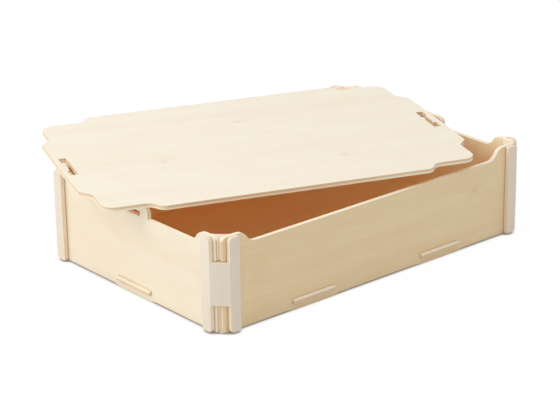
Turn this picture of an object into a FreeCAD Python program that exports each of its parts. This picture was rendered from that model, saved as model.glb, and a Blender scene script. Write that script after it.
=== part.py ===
import FreeCAD, Part
import math
import os
import re

import Sketcher

# Plywood tool box with a loose lid.
# Six sheets of thin plywood slot together, and four pale corner pieces lock the wall ends.
# Heights in the sheet are above the ground. The origin is the middle of the floor panel's upper
# face, on which the contents lie. X runs along the box and Y to its back.

doc = FreeCAD.newDocument("PlywoodToolBox")

# Driving dimensions, in millimetres and degrees

DIMENSIONS = (
    ("BoxLength", 424.0, "over the outer faces of the short walls"),
    ("BoxWidth", 283.0, "over the outer faces of the long walls"),
    ("PlySheet", 5.0, "thickness of every plywood sheet"),
    ("FitGap", 0.3, "clearance of slots and recesses"),
    ("WallTop", 90.6, "height of a wall's straight top edge"),
    ("HornTop", 103.0, "height of the raised wall ends and of the tabs"),
    ("HornFlat", 25.0, "level top of a raised end, from the box corner"),
    ("HornSlope", 22.0, "run of the curve down to the straight top edge"),
    ("FootDrop", 1.6, "height of the feet under a wall"),
    ("FootRamp", 8.0, "run of a foot's slanted end"),
    ("LongWallEnd", 4.4, "from the short wall's outer face to the long wall's end"),
    ("NoseRound", 5.0, "rounding of a wall end's upper corner"),
    ("NoseEase", 2.0, "rounding of a wall end's other corners"),
    ("TabWidth", 52.0, "tab on a short wall that passes through the lid"),
    ("TabRound", 7.0, "rounding of the tab's upper corners"),
    ("SlitPlay", 1.0, "how much wider the tab's slit is than the lid's tooth"),
    ("FloorUnder", 7.5, "height of the floor panel's underside"),
    ("FloorTabWidth", 56.0, "tabs round the floor panel"),
    ("FloorTabPlace", 90.0, "from the middle to a tab on a long side"),
    ("FloorTabProud", 3.0, "how far the floor tabs stand out of the walls"),
    ("FloorTabEase", 1.0, "rounding of the floor tabs' corners"),
    ("FlapThick", 4.8, "outer flaps of a corner piece"),
    ("FlapGap", 0.6, "gap between a flap and the wall behind it"),
    ("FlapWidth", 13.0, "width of an outer flap along the wall"),
    ("FlapFoot", 1.8, "height of the flaps' lower ends"),
    ("FlapRound", 4.0, "rounding of a flap's corners beside the open windows"),
    ("FlapEase", 1.5, "rounding of a flap's free upper and lower corners"),
    ("BendInset", 9.2, "from the box corner to the flap's inner edge"),
    ("BandThick", 5.0, "slanted band across the corner"),
    ("BandFoot", 31.0, "height of the band's lower edge"),
    ("BandTop", 77.5, "height of the band's upper edge"),
    ("BlockLeg", 20.0, "from the box corner to the inner block's far edge"),
    ("BlockDrop", 0.3, "how far the inner block's ends stay below the raised ends"),
    ("BlockHollow", 0.4, "depth of the hollow in the inner block's top"),
    ("LidProud", 7.8, "how far the lid's long edge stands out past the long wall"),
    ("LidSlopePlay", 0.9, "play between the lid's curve and the long wall's raised end"),
    ("LidSlopeRun", 22.0, "run of the curve from the lid's long edge to its ear"),
    ("LidEarInset", 1.3, "play between a lid ear and the long wall"),
    ("LidEndInset", 0.6, "play between a lid ear and the short wall"),
    ("LidEarRound", 15.0, "rounding of a lid ear"),
    ("TongueProud", 5.5, "how far the corners of the lid's tongue stand out past the short wall"),
    ("TonguePlay", 16.5, "from the tongue's corner to the short wall's raised end"),
    ("TongueFootPlay", 3.0, "from the foot of the tongue's slanted side to that raised end"),
    ("TongueBulge", 1.1, "how far the tongue's end curves out"),
    ("SlotWidth", 8.0, "lid slot across"),
    ("SlotPlay", 1.0, "lid slot's end play at each side of the tab"),
    ("ToothWidth", 25.0, "locking tooth in the lid slot"),
    ("ToothReach", 2.7, "how far the tooth stands into the slot"),
    ("SlotOuterPlay", 0.4, "from the tab's outer face to the slot's outer edge"),
    ("LidShiftX", -12.2, "lid's middle, along the box"),
    ("LidShiftY", 45.0, "lid's middle, to the back"),
    ("LidTurn", 20.6, "degrees that the lid is turned clockwise, seen from above"),
)

sheet = doc.addObject("Spreadsheet::Sheet", "Sizes")
for row, (alias, size, note) in enumerate(DIMENSIONS, start=1):
    sheet.set("A%d" % row, alias)
    sheet.set("B%d" % row, str(size))
    sheet.set("C%d" % row, note)
    sheet.setAlias("B%d" % row, alias)
doc.recompute()

ALIASES = [alias for alias, size, note in DIMENSIONS]


def bound(text):
    """The expression with each alias written as a cell of the sheet."""
    return re.sub(r"\b(%s)\b" % "|".join(ALIASES), r"Sizes.\1", text)


def value(text):
    """The number that an expression of aliases gives now."""
    return float(sheet.evalExpression(bound(text)))


# Lengths that follow from the driving dimensions

HALF_LENGTH = "(BoxLength / 2)"
HALF_WIDTH = "(BoxWidth / 2)"
FLOOR_TOP = "(FloorUnder + PlySheet)"
SHORT_WALL_END = "(PlySheet + FitGap)"
FLAP_PROUD = "(FlapThick + FlapGap)"
BAND_INNER = "(BendInset - %s + BandThick * sqrt(2))" % FLAP_PROUD
RECESS = "(%s + FitGap)" % BAND_INNER
HORN_RADIUS = "((HornSlope ^ 2 + (HornTop - WallTop) ^ 2) / (4 * (HornTop - WallTop)))"
BLOCK_TOP = "(HornTop - BlockDrop)"
LID_SIDE = "(BoxWidth / 2 + LidProud)"
LID_SLOPE_END = "(BoxLength / 2 - HornFlat - HornSlope - LidSlopePlay)"
LID_EAR_SIDE = "(BoxWidth / 2 - PlySheet - LidEarInset)"
LID_EAR_END = "(BoxLength / 2 - PlySheet - LidEndInset)"
TONGUE_END = "(BoxLength / 2 + TongueProud)"
TONGUE_SIDE = "(BoxWidth / 2 - HornFlat - HornSlope - TonguePlay)"
TONGUE_FOOT = "(BoxWidth / 2 - HornFlat - HornSlope - TongueFootPlay)"
SLOT_OUTER = "(BoxLength / 2 + SlotOuterPlay)"

LEFT = 1
RIGHT = -1


# Outlines: a list of corners (x, y, bend), where bend says how the edge to the next corner runs.
# None is a straight edge, and (radius, LEFT or RIGHT) an arc with its centre on that side.


def reflected(half, axis, bridge=None):
    """A half outline and its mirror image over the x or y axis, joined by the bridge edges."""
    far = []
    for number in range(len(half) - 1, -1, -1):
        x, y, bend = half[number]
        back = half[number - 1][2] if number else None
        far.append(("-" + x, y, back) if axis == "y" else (x, "-" + y, back))
    near = half[:-1] + [half[-1][:2] + (bridge,)]
    return near + far


def turned_round(quarter, bridge=None):
    """A whole outline from its first quarter, with the bridge edges across the x axis."""
    whole = reflected(reflected(quarter, "y"), "x", bridge)
    return whole[:-1] + [whole[-1][:2] + (bridge,)]


def arc_between(start, end, radius, side):
    """The short arc from start to end with its centre to the left or the right, drawn anticlockwise."""
    chord = end - start
    middle = (start + end) / 2
    across = FreeCAD.Vector(-chord.y, chord.x, 0).normalize() * side
    reach = math.sqrt(max(radius ** 2 - (chord.Length / 2) ** 2, 0))
    crown = middle + across * (reach - radius)
    return Part.Arc(start, crown, end) if side == LEFT else Part.Arc(end, crown, start)


def sketch_on(body, role, name):
    """A sketch on one of the body's own origin planes."""
    sketch = body.newObject("Sketcher::SketchObject", name)
    plane = [item for item in body.Origin.OriginFeatures if item.Role == role][0]
    sketch.AttachmentSupport = (plane, "")
    sketch.MapMode = "FlatFace"
    return sketch


def pin(sketch, kind, geometry, position, text):
    """Hold one coordinate of a point at an expression of the sheet."""
    index = sketch.addConstraint(Sketcher.Constraint(kind, -1, 1, geometry, position, value(text)))
    sketch.setExpression("Constraints[%d]" % index, bound(text))


def draw(sketch, outline):
    """Draw a closed outline and bind each corner and each radius to the sheet."""
    corners = [FreeCAD.Vector(value(x), value(y), 0) for x, y, bend in outline]
    ends = []
    for number, (x, y, bend) in enumerate(outline):
        start = corners[number]
        end = corners[(number + 1) % len(corners)]
        if bend is None:
            index = sketch.addGeometry(Part.LineSegment(start, end), False)
            ends.append((index, 1, 2))
            continue
        index = sketch.addGeometry(arc_between(start, end, value(bend[0]), bend[1]), False)
        ends.append((index, 1, 2) if bend[1] == LEFT else (index, 2, 1))
    for number, (x, y, bend) in enumerate(outline):
        index, first, last = ends[number]
        following = ends[(number + 1) % len(ends)]
        sketch.addConstraint(Sketcher.Constraint("Coincident", index, last, following[0], following[1]))
        pin(sketch, "DistanceX", index, first, x)
        pin(sketch, "DistanceY", index, first, y)
        if bend is not None:
            radius = sketch.addConstraint(Sketcher.Constraint("Radius", index, value(bend[0])))
            sketch.setExpression("Constraints[%d]" % radius, bound(bend[0]))


def pad(body, sketch, name, length, midplane=False):
    """Extrude a sketch along its normal."""
    feature = body.newObject("PartDesign::Pad", name)
    feature.Profile = sketch
    feature.Midplane = midplane
    feature.setExpression("Length", bound(length))
    sketch.Visibility = False
    return feature


def rectangle(left, bottom, right, top):
    return [(left, bottom, None), (right, bottom, None), (right, top, None), (left, top, None)]


def new_body(label):
    body = doc.addObject("PartDesign::Body", label)
    body.Label = label
    return body


def place(body, x, y, height, turn):
    """Turn a body about its own Z, and bind where it stands and its height above the ground."""
    body.Placement = FreeCAD.Placement(FreeCAD.Vector(), FreeCAD.Rotation(FreeCAD.Vector(0, 0, 1), turn))
    body.setExpression("Placement.Base.x", bound(x))
    body.setExpression("Placement.Base.y", bound(y))
    body.setExpression("Placement.Base.z", bound("(%s) - %s" % (height, FLOOR_TOP)))


# Walls


def foot(middle):
    """The lower edge under a floor slot, from left to right."""
    half = "FloorTabWidth / 2"
    return [
        ("(%s - %s - FootRamp)" % (middle, half), "FootDrop", None),
        ("(%s - %s)" % (middle, half), "0", None),
        ("(%s + %s)" % (middle, half), "0", None),
        ("(%s + %s + FootRamp)" % (middle, half), "FootDrop", None),
    ]


def half_foot():
    return foot("0")[2:]


def wall_end(half_span, end_gap):
    """The right end of a wall, from its lower corner up to the straight top edge."""
    end = "(%s - %s)" % (half_span, end_gap)
    eased = "(%s - %s - NoseEase)" % (half_span, end_gap)
    rounded = "(%s - %s - NoseRound)" % (half_span, end_gap)
    recessed = "(%s - %s)" % (half_span, RECESS)
    flat = "(%s - HornFlat)" % half_span
    inflection = "(%s - HornFlat - HornSlope / 2)" % half_span
    slope_foot = "(%s - HornFlat - HornSlope)" % half_span
    return [
        (eased, "FootDrop", ("NoseEase", LEFT)),
        (end, "(FootDrop + NoseEase)", None),
        (end, "(BandFoot - FitGap - NoseEase)", ("NoseEase", LEFT)),
        (eased, "(BandFoot - FitGap)", None),
        (recessed, "(BandFoot - FitGap)", None),
        (recessed, "(BandTop + FitGap)", None),
        (eased, "(BandTop + FitGap)", ("NoseEase", LEFT)),
        (end, "(BandTop + FitGap + NoseEase)", None),
        (end, "(HornTop - NoseRound)", ("NoseRound", LEFT)),
        (rounded, "HornTop", None),
        (flat, "HornTop", (HORN_RADIUS, LEFT)),
        (inflection, "((HornTop + WallTop) / 2)", (HORN_RADIUS, RIGHT)),
        (slope_foot, "WallTop", None),
    ]


def tab_edge():
    """The right half of the tab that stands up from a short wall."""
    return [
        ("(TabWidth / 2)", "WallTop", None),
        ("(TabWidth / 2)", "(HornTop - TabRound)", ("TabRound", LEFT)),
        ("(TabWidth / 2 - TabRound)", "HornTop", None),
    ]


def floor_slot(middle):
    """The slot that takes a floor tab: the tab rests on its lower edge."""
    half = "FloorTabWidth / 2 + FitGap"
    left = "(%s - (%s))" % (middle, half)
    right = "(%s + (%s))" % (middle, half)
    return rectangle(left, "FloorUnder", right, "(%s + FitGap)" % FLOOR_TOP)


def long_wall(label, side):
    body = new_body(label)
    profile = sketch_on(body, "XZ_Plane", label + "_profile")
    draw(profile, reflected(foot("FloorTabPlace") + wall_end(HALF_LENGTH, "LongWallEnd"), "y"))
    draw(profile, floor_slot("FloorTabPlace"))
    draw(profile, floor_slot("-FloorTabPlace"))
    pad(body, profile, label + "_sheet", "PlySheet", midplane=True)
    place(body, "0", "%s(%s - PlySheet / 2)" % (side, HALF_WIDTH), "0", 0)
    return body


def short_wall(label, side):
    body = new_body(label)
    profile = sketch_on(body, "YZ_Plane", label + "_profile")
    draw(profile, reflected(half_foot() + wall_end(HALF_WIDTH, SHORT_WALL_END) + tab_edge(), "y"))
    draw(profile, floor_slot("0"))
    slit = "(ToothWidth + SlitPlay) / 2"
    slit_foot = "(WallTop - FitGap)"
    slit_top = "(WallTop + PlySheet + FitGap)"
    draw(profile, rectangle("(-%s)" % slit, slit_foot, "(%s)" % slit, slit_top))
    pad(body, profile, label + "_sheet", "PlySheet", midplane=True)
    place(body, "%s(%s - PlySheet / 2)" % (side, HALF_LENGTH), "0", "0", 0)
    return body


# Floor panel


def floor_panel():
    body = new_body("floor_panel")
    profile = sketch_on(body, "XY_Plane", "floor_panel_profile")
    side = "(%s - PlySheet - FitGap)" % HALF_WIDTH
    end = "(%s - PlySheet - FitGap)" % HALF_LENGTH
    tab_side = "(%s + FloorTabProud)" % HALF_WIDTH
    tab_end = "(%s + FloorTabProud)" % HALF_LENGTH
    tab_side_eased = "(%s + FloorTabProud - FloorTabEase)" % HALF_WIDTH
    tab_end_eased = "(%s + FloorTabProud - FloorTabEase)" % HALF_LENGTH
    half = "FloorTabWidth / 2"
    quarter = [
        (tab_end, "(%s - FloorTabEase)" % half, ("FloorTabEase", LEFT)),
        (tab_end_eased, "(%s)" % half, None),
        (end, "(%s)" % half, None),
        (end, side, None),
        ("(FloorTabPlace + %s)" % half, side, None),
        ("(FloorTabPlace + %s)" % half, tab_side_eased, ("FloorTabEase", LEFT)),
        ("(FloorTabPlace + %s - FloorTabEase)" % half, tab_side, None),
        ("(FloorTabPlace - %s + FloorTabEase)" % half, tab_side, ("FloorTabEase", LEFT)),
        ("(FloorTabPlace - %s)" % half, tab_side_eased, None),
        ("(FloorTabPlace - %s)" % half, side, None),
    ]
    draw(profile, turned_round(quarter))
    pad(body, profile, "floor_panel_sheet", "PlySheet")
    place(body, "0", "0", "FloorUnder", 0)
    return body


# Lid


def lid_slot():
    """The right slot for a tab, with the locking tooth on its outer edge."""
    inner = "(%s - SlotWidth)" % SLOT_OUTER
    tip = "(%s - ToothReach)" % SLOT_OUTER
    half = "(TabWidth / 2 + SlotPlay)"
    tooth = "(ToothWidth / 2)"
    return [
        (inner, "-" + half, None),
        (SLOT_OUTER, "-" + half, None),
        (SLOT_OUTER, "-" + tooth, None),
        (tip, "-" + tooth, None),
        (tip, tooth, None),
        (SLOT_OUTER, tooth, None),
        (SLOT_OUTER, half, None),
        (inner, half, None),
    ]


def lid():
    body = new_body("lid")
    profile = sketch_on(body, "XY_Plane", "lid_profile")
    rise = "(%s - %s)" % (LID_SIDE, LID_EAR_SIDE)
    slope_radius = "((LidSlopeRun ^ 2 + %s ^ 2) / (4 * %s))" % (rise, rise)
    tongue_radius = "((%s ^ 2 + TongueBulge ^ 2) / (2 * TongueBulge))" % TONGUE_SIDE
    quarter = [
        (TONGUE_END, TONGUE_SIDE, None),
        (LID_EAR_END, TONGUE_FOOT, None),
        (LID_EAR_END, "(%s - LidEarRound)" % LID_EAR_SIDE, ("LidEarRound", LEFT)),
        ("(%s - LidEarRound)" % LID_EAR_END, LID_EAR_SIDE, None),
        (LID_SLOPE_END, LID_EAR_SIDE, (slope_radius, RIGHT)),
        ("(%s - LidSlopeRun / 2)" % LID_SLOPE_END, "((%s + %s) / 2)" % (LID_SIDE, LID_EAR_SIDE),
         (slope_radius, LEFT)),
        ("(%s - LidSlopeRun)" % LID_SLOPE_END, LID_SIDE, None),
    ]
    draw(profile, turned_round(quarter, (tongue_radius, LEFT)))
    draw(profile, lid_slot())
    draw(profile, [("-" + x, y, bend) for x, y, bend in lid_slot()])
    pad(body, profile, "lid_sheet", "PlySheet")
    place(body, "LidShiftX", "LidShiftY", "HornTop", -value("LidTurn"))
    return body


# Corner pieces: the walls' outer faces meet at the body's origin, and the box lies at +X and +Y


def lifted(sketch, height):
    """Raise a sketch on the XY plane."""
    sketch.AttachmentOffset = FreeCAD.Placement(FreeCAD.Vector(0, 0, value(height)), FreeCAD.Rotation())
    sketch.setExpression("AttachmentOffset.Base.z", bound(height))


def is_at(edge, x, y, z):
    """Whether an edge's middle has the given coordinates, where they aren't None."""
    middle = edge.CenterOfMass
    wanted = ((middle.x, x), (middle.y, y), (middle.z, z))
    return all(text is None or abs(found - value(text)) < Part.Precision.approximation() for found, text in wanted)


def rounded(body, base, name, places, radius):
    """Round the edges whose middles lie at the given places."""
    doc.recompute()
    edges = ["Edge%d" % number for number, edge in enumerate(base.Shape.Edges, start=1)
             if any(is_at(edge, *spot) for spot in places)]
    assert len(edges) == len(places), name + ": an edge to round is missing"
    feature = body.newObject("PartDesign::Fillet", name)
    feature.Base = (base, edges)
    feature.setExpression("Radius", bound(radius))
    return feature


def corner_piece(label, x_side, y_side, turn):
    body = new_body(label)
    # Inner block, which stands on the floor panel
    block = sketch_on(body, "XY_Plane", label + "_block_plan")
    lifted(block, "(%s + FitGap)" % FLOOR_TOP)
    draw(block, [
        ("(%s - PlySheet)" % BAND_INNER, "PlySheet", None),
        ("BlockLeg", "PlySheet", None),
        ("PlySheet", "BlockLeg", None),
        ("PlySheet", "(%s - PlySheet)" % BAND_INNER, None),
    ])
    block_pad = pad(body, block, label + "_block", "(%s - %s - FitGap)" % (BLOCK_TOP, FLOOR_TOP))
    doc.recompute()
    full = block_pad.Shape.Volume
    # Hollow in the block's top, across the corner
    hollow = sketch_on(body, "XZ_Plane", label + "_hollow_profile")
    hollow.AttachmentOffset = FreeCAD.Placement(FreeCAD.Vector(), FreeCAD.Rotation(FreeCAD.Vector(0, 1, 0), -45))
    half_chord = "((BlockLeg - PlySheet) / sqrt(2))"
    hollow_radius = "((%s ^ 2 + BlockHollow ^ 2) / (2 * BlockHollow))" % half_chord
    draw(hollow, [
        ("-" + half_chord, BLOCK_TOP, (hollow_radius, LEFT)),
        (half_chord, BLOCK_TOP, None),
    ])
    cut = body.newObject("PartDesign::Pocket", label + "_hollow")
    cut.Profile = hollow
    cut.Type = "ThroughAll"
    cut.Midplane = True
    doc.recompute()
    assert cut.Shape.Volume < full, label + ": the hollow cuts nothing"
    # Band, bridge through the walls' recesses, and the inner block at the same height
    band = sketch_on(body, "XY_Plane", label + "_band_plan")
    lifted(band, "BandFoot")
    draw(band, [
        ("BendInset", "-" + FLAP_PROUD, None),
        ("BendInset", "0", None),
        (BAND_INNER, "0", None),
        ("(%s - PlySheet)" % BAND_INNER, "PlySheet", None),
        ("BlockLeg", "PlySheet", None),
        ("PlySheet", "BlockLeg", None),
        ("PlySheet", "(%s - PlySheet)" % BAND_INNER, None),
        ("0", BAND_INNER, None),
        ("0", "BendInset", None),
        ("-" + FLAP_PROUD, "BendInset", None),
    ])
    pad(body, band, label + "_band", "(BandTop - BandFoot)")
    # Outer flaps
    flaps = sketch_on(body, "XY_Plane", label + "_flap_plan")
    lifted(flaps, "FlapFoot")
    draw(flaps, rectangle("BendInset", "-" + FLAP_PROUD, "(BendInset + FlapWidth)", "-FlapGap"))
    draw(flaps, rectangle("-" + FLAP_PROUD, "BendInset", "-FlapGap", "(BendInset + FlapWidth)"))
    flap_pad = pad(body, flaps, label + "_flaps", "(HornTop - FlapFoot)")
    # Flap corners
    inner = "BendInset"
    outer = "(BendInset + FlapWidth)"
    thick = "(-FlapGap - FlapThick / 2)"
    beside_windows = [(inner, thick, "HornTop"), (thick, inner, "HornTop"),
                      (inner, thick, "FlapFoot"), (thick, inner, "FlapFoot")]
    free = [(outer, thick, "HornTop"), (thick, outer, "HornTop"),
            (outer, thick, "FlapFoot"), (thick, outer, "FlapFoot")]
    round_inner = rounded(body, flap_pad, label + "_window_corners", beside_windows, "FlapRound")
    rounded(body, round_inner, label + "_free_corners", free, "FlapEase")
    place(body, x_side + HALF_LENGTH, y_side + HALF_WIDTH, "0", turn)
    return body


# The whole box

pieces = [
    long_wall("front_wall", "-"),
    long_wall("back_wall", ""),
    short_wall("left_wall", "-"),
    short_wall("right_wall", ""),
    floor_panel(),
    lid(),
]
for label, x_side, y_side, turn in (
    ("corner_front_left", "-", "-", 0),
    ("corner_front_right", "", "-", 90),
    ("corner_back_right", "", "", 180),
    ("corner_back_left", "-", "", 270),
):
    pieces.append(corner_piece(label, x_side, y_side, turn))

doc.recompute()

for item in doc.Objects:
    faults = [state for state in item.State if state in ("Invalid", "Error")]
    assert not faults, "%s: %s" % (item.Name, faults)
for piece in pieces:
    shape = piece.Shape
    assert not shape.isNull() and shape.isValid() and len(shape.Solids) == 1, piece.Label

os.makedirs("parts", exist_ok=True)
for piece in pieces:
    piece.Shape.exportStep("parts/%s.step" % piece.Label)
    box = piece.Shape.BoundBox
    print("%-20s %9.1f mm3  x %7.1f %7.1f  y %7.1f %7.1f  z %6.1f %6.1f" % (
        piece.Label, piece.Shape.Volume, box.XMin, box.XMax, box.YMin, box.YMax, box.ZMin, box.ZMax))
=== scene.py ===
import math

import bpy
from mathutils import Matrix, Vector


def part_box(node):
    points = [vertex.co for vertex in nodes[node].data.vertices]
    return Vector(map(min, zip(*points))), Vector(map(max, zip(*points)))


# Finishes, light and camera for the plywood tool box.
# Objects are in metres. Inside the materials, lengths are in millimetres.

MM = 0.001

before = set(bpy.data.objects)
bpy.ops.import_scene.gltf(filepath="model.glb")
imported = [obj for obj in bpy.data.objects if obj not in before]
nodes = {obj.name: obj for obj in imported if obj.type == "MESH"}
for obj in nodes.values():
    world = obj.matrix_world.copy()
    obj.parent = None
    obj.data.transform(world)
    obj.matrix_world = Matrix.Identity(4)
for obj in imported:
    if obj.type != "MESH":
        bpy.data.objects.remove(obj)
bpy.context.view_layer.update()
scene = bpy.context.scene


# Sizes read from the nodes' boxes, in millimetres

def span(node, axis):
    """Where a node begins and ends along an axis."""
    low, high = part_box(node)
    return low[axis] / MM, high[axis] / MM


def middle(node):
    """The middle of a node's box."""
    return [sum(span(node, axis)) / 2 for axis in range(3)]


GROUND = span("front_wall", 2)[0]
BOX_END = span("right_wall", 0)[1]
BOX_SIDE = span("back_wall", 1)[1]
LID_BOTTOM, LID_TOP = span("lid", 2)
PLY_SHEET = LID_TOP - LID_BOTTOM


# Colours and node graphs

def rgb(red, green, blue):
    """A colour given in display values from 0 to 255, as the linear colour that nodes take."""
    shares = [value / 255 for value in (red, green, blue)]
    linear = [share / 12.92 if share <= 0.04045 else ((share + 0.055) / 1.055) ** 2.4 for share in shares]
    return (*linear, 1.0)


class Graph:
    """Adds nodes to one node tree with short calls. A value is a number, a colour or a node's output."""

    def __init__(self, tree):
        self.tree = tree
        tree.nodes.clear()

    def feed(self, socket, value):
        if isinstance(value, bpy.types.NodeSocket):
            self.tree.links.new(value, socket)
        else:
            socket.default_value = value

    def add(self, kind, inputs=None, **settings):
        node = self.tree.nodes.new(kind)
        for name, value in settings.items():
            setattr(node, name, value)
        for name, value in (inputs or {}).items():
            self.feed(node.inputs[name], value)
        return node

    def math(self, operation, *values):
        node = self.add("ShaderNodeMath", operation=operation)
        for socket, value in zip(node.inputs, values):
            self.feed(socket, value)
        return node.outputs[0]

    def plus(self, first, second):
        return self.math("ADD", first, second)

    def minus(self, first, second):
        return self.math("SUBTRACT", first, second)

    def times(self, first, second):
        return self.math("MULTIPLY", first, second)

    def magnitude(self, value):
        return self.math("ABSOLUTE", value)

    def clamp(self, value):
        """The value, kept between 0 and 1."""
        return self.add("ShaderNodeClamp", {0: value}).outputs[0]

    def step(self, value, low, high):
        """A soft step from 0 at low to 1 at high."""
        inputs = {0: value, 1: low, 2: high}
        return self.add("ShaderNodeMapRange", inputs, interpolation_type="SMOOTHSTEP").outputs[0]

    def blend(self, share, first, second):
        """A number between two others."""
        return self.add("ShaderNodeMix", {0: share, 2: first, 3: second}).outputs[0]

    def mix(self, share, first, second):
        """A colour between two others."""
        return self.add("ShaderNodeMix", {0: share, 6: first, 7: second}, data_type="RGBA").outputs[2]

    def point(self, x, y, z):
        return self.add("ShaderNodeCombineXYZ", {0: x, 1: y, 2: z}).outputs[0]

    def split(self, vector):
        return self.add("ShaderNodeSeparateXYZ", {0: vector}).outputs[:]

    def in_millimetres(self, vector):
        """A vector in metres, turned into millimetres."""
        return self.add("ShaderNodeVectorMath", {0: vector, 1: (MM, MM, MM)}, operation="DIVIDE").outputs[0]

    def noise(self, place, fineness, detail, roughness):
        """Noise about zero, with features one over the fineness wide along each axis."""
        scaled = self.add("ShaderNodeVectorMath", {0: place, 1: fineness}, operation="MULTIPLY").outputs[0]
        inputs = {"Vector": scaled, "Scale": 1.0, "Detail": detail, "Roughness": roughness}
        return self.minus(self.add("ShaderNodeTexNoise", inputs).outputs[0], 0.5)

    def weigh(self, patterns, weights, start=0.0):
        """The start plus each named pattern times its weight."""
        total = start
        for name, weight in weights.items():
            total = self.math("MULTIPLY_ADD", patterns[name], weight, total)
        return total


def new_material(name):
    material = bpy.data.materials.new(name)
    material.use_nodes = True
    return material, Graph(material.node_tree)


def finish_material(graph, colour, roughness, height, relief, specular):
    """The shader and the output. The relief says how deep a height of 1 is."""
    bump = graph.add("ShaderNodeBump", {"Strength": 1.0, "Distance": relief * MM, "Height": height})
    shader = graph.add("ShaderNodeBsdfPrincipled", {
        "Base Color": colour,
        "Roughness": roughness,
        "Specular IOR Level": specular,
        "Normal": bump.outputs[0],
    })
    graph.add("ShaderNodeOutputMaterial", {"Surface": shader.outputs[0]})


# Plywood
# A sheet's own axes are u along the face grain, v across it and w through the sheet.
# A noise is given by its fineness along the axes, its detail and its roughness.

DRIFT = ((0.004, 0.012, 1.0), 2.0, 0.5)
DRIFT_WIDTH = 26.0
MOTTLE = ((0.02, 0.02, 1.0), 2.0, 0.5)

# Each grain pattern starts with its own place in the noise
GRAIN = {
    "broad": (11.0, (0.0028, 0.035, 1.0), 3.0, 0.5),
    "flame": (23.0, (0.0022, 0.012, 1.0), 1.0, 0.5),
    "streak": (31.0, (0.010, 0.55, 1.0), 4.0, 0.6),
    "fibre": (43.0, (0.07, 2.6, 1.0), 3.0, 0.65),
    "pores": (57.0, (0.11, 3.4, 1.0), 0.0, 0.5),
}
FLAME_LINES = 95.0
PORE_EDGE = (0.20, 0.34)
FACES_APART = 7.0

FACE_TONE = {"broad": 1.1, "flame": 0.05, "streak": 0.75, "fibre": 0.55, "mottle": 0.45, "pores": -0.22}
FACE_TONE_START = 0.55
FACE_HEIGHT = {"streak": 0.35, "fibre": 0.8, "pores": -0.5}
EDGE_TO_FACE = (0.80, 0.97)

KNOT_SLIMNESS = 0.6
KNOT_CORE_SHADE = 0.8
KNOT_HALO_SHADE = 0.15
KNOT_HALO_FALL = 0.12
KNOT_STRENGTH = 0.28
KNOT_BROWN = rgb(176, 128, 84)

CORE_HALF = PLY_SHEET * 0.25
CORE_BLUR = 0.08
GLUE_REACH = 0.35
# The cut edge is darker on its outer half.
OUTER_SIDE_EDGE = (-0.6, 1.4)
LEVEL_TO_UPWARD = (0.2, 0.8)
SPECKLE = ((1.3, 1.3, 3.0), 3.0, 0.7)
RUN = ((0.15, 0.15, 5.0), 3.0, 0.5)
PLY_DARKENING_WEIGHTS = {"outer_side": -0.40, "core": -0.20, "end_grain": -0.10, "glue": -0.15}
# How much of the ply darkening stays on edges that look up; the rest is a painted highlight on the top
# edges.
DARKENING_LEFT_UNDER_PAINTED_TOP_LIGHT = 0.25
EDGE_TONE = {"speckle": 0.4, "run": 0.3, "ply_darkening": 1.0}
EDGE_TONE_START = 1.0
EDGE_HEIGHT = {"speckle": 1.2, "glue": -0.8}
EDGE_COLOURS = (rgb(190, 146, 92), rgb(254, 243, 218))

PLY_ROUGHNESS = {"mottle": 0.12, "fibre": 0.10}
PLY_ROUGHNESS_START = 0.60
PLY_RELIEF = 0.06
PLY_SPECULAR = 0.3


def sheet_axes(graph, coordinates, place, turn):
    """A point along u, v and w, and how much the surface faces along each of them."""
    rotation = [math.radians(angle) for angle in turn]
    point = graph.add("ShaderNodeMapping", {
        "Vector": coordinates["Object"],
        "Location": [length * MM for length in place],
        "Rotation": rotation,
        "Scale": (MM, MM, MM),
    }, vector_type="TEXTURE").outputs[0]
    normal = graph.add("ShaderNodeMapping", {
        "Vector": coordinates["Normal"],
        "Rotation": rotation,
    }, vector_type="TEXTURE").outputs[0]
    return graph.split(point), [graph.magnitude(part) for part in graph.split(normal)]


def knot_shade(graph, u, v, knots):
    """How strongly the small knots darken the veneer, and how far they push the grain aside."""
    shade = 0.0
    push = 0.0
    for knot_u, knot_v, radius in knots:
        du = graph.times(graph.minus(u, knot_u), KNOT_SLIMNESS / radius)
        dv = graph.times(graph.minus(v, knot_v), 1.0 / radius)
        square = graph.plus(graph.times(du, du), graph.times(dv, dv))
        core = graph.math("EXPONENT", graph.times(square, -1.0))
        halo = graph.math("EXPONENT", graph.times(square, -KNOT_HALO_FALL))
        shade = graph.math("MULTIPLY_ADD", halo, KNOT_HALO_SHADE, shade)
        shade = graph.math("MULTIPLY_ADD", core, KNOT_CORE_SHADE, shade)
        push = graph.math("MULTIPLY_ADD", graph.times(dv, halo), radius, push)
    return shade, push


def grain_patterns(graph, u, v, layer, push):
    """The patterns of a face veneer, bent by a slow drift and pushed aside by the knots."""
    place = graph.point(u, v, layer)
    drift = graph.noise(place, *DRIFT)
    bent = graph.plus(graph.math("MULTIPLY_ADD", drift, DRIFT_WIDTH, v), push)
    patterns = {"mottle": graph.noise(place, *MOTTLE)}
    for name, (offset, *noise) in GRAIN.items():
        patterns[name] = graph.noise(graph.point(u, bent, graph.plus(layer, offset)), *noise)
    patterns["flame"] = graph.math("SINE", graph.times(patterns["flame"], FLAME_LINES))
    patterns["pores"] = graph.step(patterns["pores"], *PORE_EDGE)
    return patterns


def inner_face_share(graph, place, w, inner_side):
    """1 on the inner face, as far as the box reaches, and 0 elsewhere."""
    x, y = graph.split(graph.in_millimetres(place))[:2]
    within_x = graph.math("LESS_THAN", graph.magnitude(x), BOX_END)
    within_y = graph.math("LESS_THAN", graph.magnitude(y), BOX_SIDE)
    inner_face = graph.step(graph.times(w, inner_side), 0.0, 1.0)
    return graph.times(inner_face, graph.times(within_x, within_y))


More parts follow.
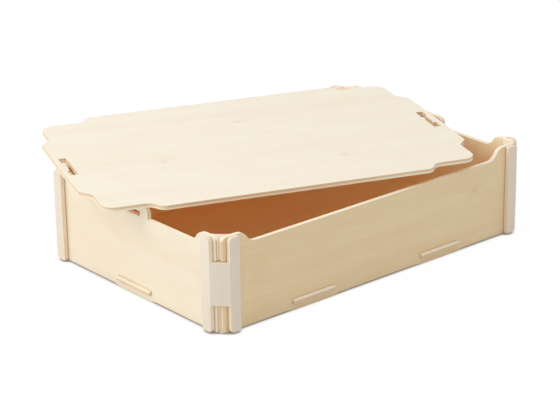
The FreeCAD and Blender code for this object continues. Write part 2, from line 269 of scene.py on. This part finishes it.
def face_colour(graph, grain, veneer, inner_colours, on_inner_face, knot):
    tone = graph.clamp(graph.weigh(grain, FACE_TONE, FACE_TONE_START))
    # The inner face takes its own colours, which are painted light.
    face = graph.mix(on_inner_face, graph.mix(tone, *veneer), graph.mix(tone, *inner_colours))
    return graph.mix(graph.times(knot, KNOT_STRENGTH), face, KNOT_BROWN)


def edge_patterns(graph, axes, facing, upward, inner_side):
    """The patterns of a cut edge: plies, glue lines, and a ply darkening that is weaker on edges that look
    up, which paints a highlight on the top edges.
    """
    along, across = facing[:2]
    w = axes[2]
    depth = graph.magnitude(w)
    core = graph.step(depth, CORE_HALF + CORE_BLUR, CORE_HALF - CORE_BLUR)
    glue_inside = graph.step(depth, CORE_HALF - GLUE_REACH, CORE_HALF)
    glue_outside = graph.step(depth, CORE_HALF + GLUE_REACH, CORE_HALF)
    place = graph.point(*axes)
    patterns = {
        "core": core,
        "glue": graph.times(glue_inside, glue_outside),
        "end_grain": graph.blend(core, along, across),
        # Darker towards the sheet's outer face.
        "outer_side": graph.step(graph.times(w, -inner_side), *OUTER_SIDE_EDGE),
        "speckle": graph.noise(place, *SPECKLE),
        "run": graph.noise(place, *RUN),
    }
    ply_darkening = graph.weigh(patterns, PLY_DARKENING_WEIGHTS)
    # Edges that look up keep less of the darkening and come out near the light edge colour: a painted
    # highlight.
    patterns["ply_darkening"] = graph.times(ply_darkening, graph.blend(graph.step(upward, *LEVEL_TO_UPWARD), 1.0, DARKENING_LEFT_UNDER_PAINTED_TOP_LIGHT))
    return patterns


def ply_material(name, place, turn, seed, inner_side, veneer, inner_colours, knots):
    """Bare sanded plywood for one sheet. The inner face has positive w where the inner side is 1."""
    material, graph = new_material(name)
    coordinates = graph.add("ShaderNodeTexCoord").outputs
    axes, facing = sheet_axes(graph, coordinates, place, turn)
    u, v, w = axes
    layer = graph.math("MULTIPLY_ADD", graph.math("SIGN", w), FACES_APART, seed)
    knot, push = knot_shade(graph, u, v, knots)
    grain = grain_patterns(graph, u, v, layer, push)
    on_inner_face = inner_face_share(graph, coordinates["Object"], w, inner_side)
    cut = edge_patterns(graph, axes, facing, graph.split(coordinates["Normal"])[2], inner_side)

    face = face_colour(graph, grain, veneer, inner_colours, on_inner_face, knot)
    edge = graph.mix(graph.clamp(graph.weigh(cut, EDGE_TONE, EDGE_TONE_START)), *EDGE_COLOURS)
    is_face = graph.step(facing[2], *EDGE_TO_FACE)
    height = graph.blend(is_face, graph.weigh(cut, EDGE_HEIGHT), graph.weigh(grain, FACE_HEIGHT))
    roughness = graph.weigh(grain, PLY_ROUGHNESS, PLY_ROUGHNESS_START)
    finish_material(graph, graph.mix(is_face, edge, face), roughness, height, PLY_RELIEF, PLY_SPECULAR)
    return material


# Sheets, with the darkest and the lightest tone of each veneer

LONG_WALL_TURN = (90, 0, 0)
SHORT_WALL_TURN = (90, 0, 90)
FLOOR_TURN = (0, 0, 0)
LID_TURN = (0, 0, -20.6)
# The inner faces take lighter colours than the outer veneers, as painted light inside the box: a warm
# painted bounce in the shade under the lid, and a paler painted light on the right wall's inner face.
PAINTED_WARM_BOUNCE_INSIDE = (rgb(252, 215, 166), rgb(255, 229, 183))
PAINTED_LIGHT_INSIDE = (rgb(255, 239, 198), rgb(255, 246, 208))
LID_VENEER = (rgb(239, 226, 203), rgb(246, 238, 221))


def dress_sheet(node, turn, seed, inner_side, veneer, inner_colours, knots=()):
    """A sheet's own plywood. Each knot has its place along u and v, and its radius."""
    material = ply_material(node + "_ply", middle(node), turn, seed, inner_side, veneer, inner_colours, knots)
    nodes[node].data.materials[0] = material


# The sheets are one plywood; the veneers are darker and warmer on the front and back walls as painted shade,
# and paler on the left wall and the lid as painted light.
dress_sheet("front_wall", LONG_WALL_TURN, seed=3.0, inner_side=-1.0, inner_colours=PAINTED_WARM_BOUNCE_INSIDE,
            veneer=(rgb(227, 200, 156), rgb(240, 219, 182)), knots=[(143.0, 12.5, 2.6)])
dress_sheet("back_wall", LONG_WALL_TURN, seed=41.0, inner_side=1.0, inner_colours=PAINTED_WARM_BOUNCE_INSIDE,
            veneer=(rgb(229, 202, 158), rgb(242, 221, 184)))
dress_sheet("left_wall", SHORT_WALL_TURN, seed=85.0, inner_side=1.0, inner_colours=PAINTED_WARM_BOUNCE_INSIDE,
            veneer=(rgb(234, 217, 190), rgb(243, 233, 212)))
dress_sheet("right_wall", SHORT_WALL_TURN, seed=127.0, inner_side=-1.0, inner_colours=PAINTED_LIGHT_INSIDE,
            veneer=(rgb(230, 204, 166), rgb(242, 224, 192)))
dress_sheet("floor_panel", FLOOR_TURN, seed=163.0, inner_side=1.0, inner_colours=PAINTED_WARM_BOUNCE_INSIDE,
            veneer=(rgb(236, 219, 192), rgb(245, 235, 214)))
dress_sheet("lid", LID_TURN, seed=211.0, inner_side=-1.0, inner_colours=LID_VENEER, veneer=LID_VENEER,
            knots=[(-110.0, -24.0, 1.6), (6.0, 72.5, 2.2), (78.0, -73.0, 2.2)])


# Corner pieces

BOARD_NOISES = {
    "mottle": ((0.05, 0.05, 0.03), 3.0, 0.5),
    "grain": ((1.6, 1.6, 0.03), 4.0, 0.65),
    "speckle": ((1.7, 1.7, 1.7), 3.0, 0.7),
}
BOARD_TONE_START = 0.5
BOARD_FACE_TONE = {"mottle": 0.9, "grain": 0.8}
BOARD_FACE_COLOURS = (rgb(223, 210, 192), rgb(237, 225, 208))
BOARD_CUT_TONE = {"speckle": 1.2, "mottle": 0.8}
BOARD_CUT_COLOURS = (rgb(232, 206, 176), rgb(250, 234, 210))
FACE_TO_FLAP_EDGE = (0.80, 0.95)
FACE_TO_END = (0.45, 0.80)
BOARD_HEIGHT = {"grain": 0.5, "speckle": 0.3}
BOARD_ROUGHNESS = {"mottle": 0.15}
BOARD_ROUGHNESS_START = 0.5
BOARD_RELIEF = 0.05
BOARD_SPECULAR = 0.35


def cut_share(graph, place, normal):
    """1 on the flaps' cut edges and on the upper and lower ends, and 0 on the board's faces."""
    x, y = graph.split(place)[:2]
    facing_x, facing_y, facing_z = [graph.magnitude(part) for part in graph.split(normal)]
    inset_x = graph.minus(BOX_END, graph.magnitude(x))
    inset_y = graph.minus(BOX_SIDE, graph.magnitude(y))
    on_long_wall = graph.math("GREATER_THAN", inset_x, inset_y)
    flap_edge = graph.step(graph.blend(on_long_wall, facing_y, facing_x), *FACE_TO_FLAP_EDGE)
    return graph.math("MAXIMUM", flap_edge, graph.step(facing_z, *FACE_TO_END))


def corner_material():
    """Off-white faced board with tan cut edges, one material for all four corners."""
    material, graph = new_material("corner_board")
    coordinates = graph.add("ShaderNodeTexCoord").outputs
    place = graph.in_millimetres(coordinates["Object"])
    patterns = {name: graph.noise(place, *noise) for name, noise in BOARD_NOISES.items()}
    face_tone = graph.clamp(graph.weigh(patterns, BOARD_FACE_TONE, BOARD_TONE_START))
    cut_tone = graph.clamp(graph.weigh(patterns, BOARD_CUT_TONE, BOARD_TONE_START))
    face = graph.mix(face_tone, *BOARD_FACE_COLOURS)
    cut = graph.mix(cut_tone, *BOARD_CUT_COLOURS)
    colour = graph.mix(cut_share(graph, place, coordinates["Normal"]), face, cut)
    roughness = graph.weigh(patterns, BOARD_ROUGHNESS, BOARD_ROUGHNESS_START)
    height = graph.weigh(patterns, BOARD_HEIGHT)
    finish_material(graph, colour, roughness, height, BOARD_RELIEF, BOARD_SPECULAR)
    return material


board = corner_material()
for node, piece in nodes.items():
    if node.startswith("corner"):
        piece.data.materials[0] = board


# Sanded arrises

ARRIS = 0.35
ARRIS_ANGLE = 40
WELD_REACH = 0.001
FLAT_ANGLE = 0.5


def ease_edges(piece):
    """Small rounded arrises on a node, as modifiers."""
    weld = piece.modifiers.new("weld", "WELD")
    weld.merge_threshold = WELD_REACH * MM
    flat = piece.modifiers.new("flat", "DECIMATE")
    flat.decimate_type = "DISSOLVE"
    flat.angle_limit = math.radians(FLAT_ANGLE)
    ease = piece.modifiers.new("ease", "BEVEL")
    ease.width = ARRIS * MM
    ease.segments = 2
    ease.limit_method = "ANGLE"
    ease.angle_limit = math.radians(ARRIS_ANGLE)
    ease.harden_normals = True


for piece in nodes.values():
    ease_edges(piece)


# Floor and surround

FLOOR_HALF = 8.0
FLOOR_WHITE = 1.02
FLOOR_GREY = (0.82, 0.82, 0.82, 1.0)
# Colour of the painted contact shadow.
PAINTED_CONTACT_SHADE = (0.42, 0.32, 0.20, 1.0)
CONTACT_REACH = 6.0
CONTACT_EDGE = (0.28, 0.92)
CONTACT_SAMPLES = 8
WHITE_AT_CONTACT = 0.15
WHITE_IN_THE_OPEN = 0.93
AMBIENT = 0.71


def white_to_the_eye(graph):
    """1 for rays that show the background itself, straight, in gloss or through the surface."""
    rays = graph.add("ShaderNodeLightPath").outputs
    seen = graph.math("MAXIMUM", rays["Is Camera Ray"], rays["Is Glossy Ray"])
    return graph.math("MAXIMUM", seen, rays["Is Transmission Ray"])


def floor_material():
    """White to the eye, with the object's soft shadow and a brown painted shadow where the box meets the
    floor.
    """
    material, graph = new_material("pale_floor")
    reach = {"Distance": CONTACT_REACH * MM}
    open_sky = graph.add("ShaderNodeAmbientOcclusion", reach, samples=CONTACT_SAMPLES).outputs["AO"]
    clear = graph.step(open_sky, *CONTACT_EDGE)
    # Where the box's ambient occlusion is deep, the floor colour turns brown: a painted contact shadow.
    bare = graph.add("ShaderNodeBsdfDiffuse", {"Color": graph.mix(clear, PAINTED_CONTACT_SHADE, FLOOR_GREY)})
    white = graph.add("ShaderNodeEmission", {"Strength": FLOOR_WHITE})
    share = graph.times(white_to_the_eye(graph), graph.blend(clear, WHITE_AT_CONTACT, WHITE_IN_THE_OPEN))
    both = graph.add("ShaderNodeMixShader", {0: share, 1: bare.outputs[0], 2: white.outputs[0]})
    graph.add("ShaderNodeOutputMaterial", {"Surface": both.outputs[0]})
    return material


def make_floor():
    mesh = bpy.data.meshes.new("floor")
    corners = [(-1, -1), (1, -1), (1, 1), (-1, 1)]
    mesh.from_pydata([(x * FLOOR_HALF, y * FLOOR_HALF, GROUND * MM) for x, y in corners], [], [(0, 1, 2, 3)])
    mesh.materials.append(floor_material())
    floor = bpy.data.objects.new("floor", mesh)
    scene.collection.objects.link(floor)


def make_world():
    """An even surround that is white to the eye and a little darker as a light."""
    world = bpy.data.worlds.new("studio")
    world.use_nodes = True
    graph = Graph(world.node_tree)
    strength = graph.blend(white_to_the_eye(graph), AMBIENT, 1.0)
    background = graph.add("ShaderNodeBackground", {"Color": (1.0, 1.0, 1.0, 1.0), "Strength": strength})
    graph.add("ShaderNodeOutputWorld", {"Surface": background.outputs[0]})
    scene.world = world


make_floor()
make_world()


# Lamps

def direction(azimuth, elevation):
    """From the box towards a place round it. Azimuth 0 is in front of the box and -90 to its left."""
    a = math.radians(azimuth)
    e = math.radians(elevation)
    return Vector((math.sin(a) * math.cos(e), -math.cos(a) * math.cos(e), math.sin(e)))


def make_lamp(name, azimuth, elevation, distance, size, power):
    """A square soft lamp that faces the box."""
    away = direction(azimuth, elevation)
    data = bpy.data.lights.new(name, "AREA")
    data.size = size
    data.energy = power
    lamp = bpy.data.objects.new(name, data)
    lamp.location = away * distance
    lamp.rotation_mode = "QUATERNION"
    lamp.rotation_quaternion = away.to_track_quat("Z", "Y")
    scene.collection.objects.link(lamp)


make_lamp("key_lamp", azimuth=-112, elevation=34, distance=2.4, size=1.8, power=22)
make_lamp("top_lamp", azimuth=-20, elevation=80, distance=2.4, size=1.6, power=8)


# Camera, fitted to the photograph's edges

CAMERA_AZIMUTH = -40.25
CAMERA_ELEVATION = 21.27
CAMERA_ROLL = -0.79
CAMERA_TARGET = Vector((-10.99, 2.90, 27.5)) * MM
CAMERA_DISTANCE = 2.274
FOCAL_PIXELS = 2083.0
IMAGE_WIDTH = 560
SENSOR_WIDTH = 36.0
FAR_CLIP = 50.0


def make_camera():
    back = direction(CAMERA_AZIMUTH, CAMERA_ELEVATION)
    level = Vector((0, 0, 1)).cross(back).normalized()
    upright = back.cross(level)
    roll = math.radians(CAMERA_ROLL)
    right = level * math.cos(roll) + upright * math.sin(roll)
    up = back.cross(right)
    data = bpy.data.cameras.new("camera")
    data.sensor_width = SENSOR_WIDTH
    data.lens = SENSOR_WIDTH * FOCAL_PIXELS / IMAGE_WIDTH
    data.clip_end = FAR_CLIP
    camera = bpy.data.objects.new("camera", data)
    turn = Matrix((right, up, back)).transposed().to_4x4()
    camera.matrix_world = Matrix.Translation(CAMERA_TARGET + back * CAMERA_DISTANCE) @ turn
    scene.collection.objects.link(camera)
    scene.camera = camera


make_camera()
scene.view_settings.view_transform = "Standard"
scene.cycles.diffuse_bounces = 12
scene.cycles.max_bounces = 16
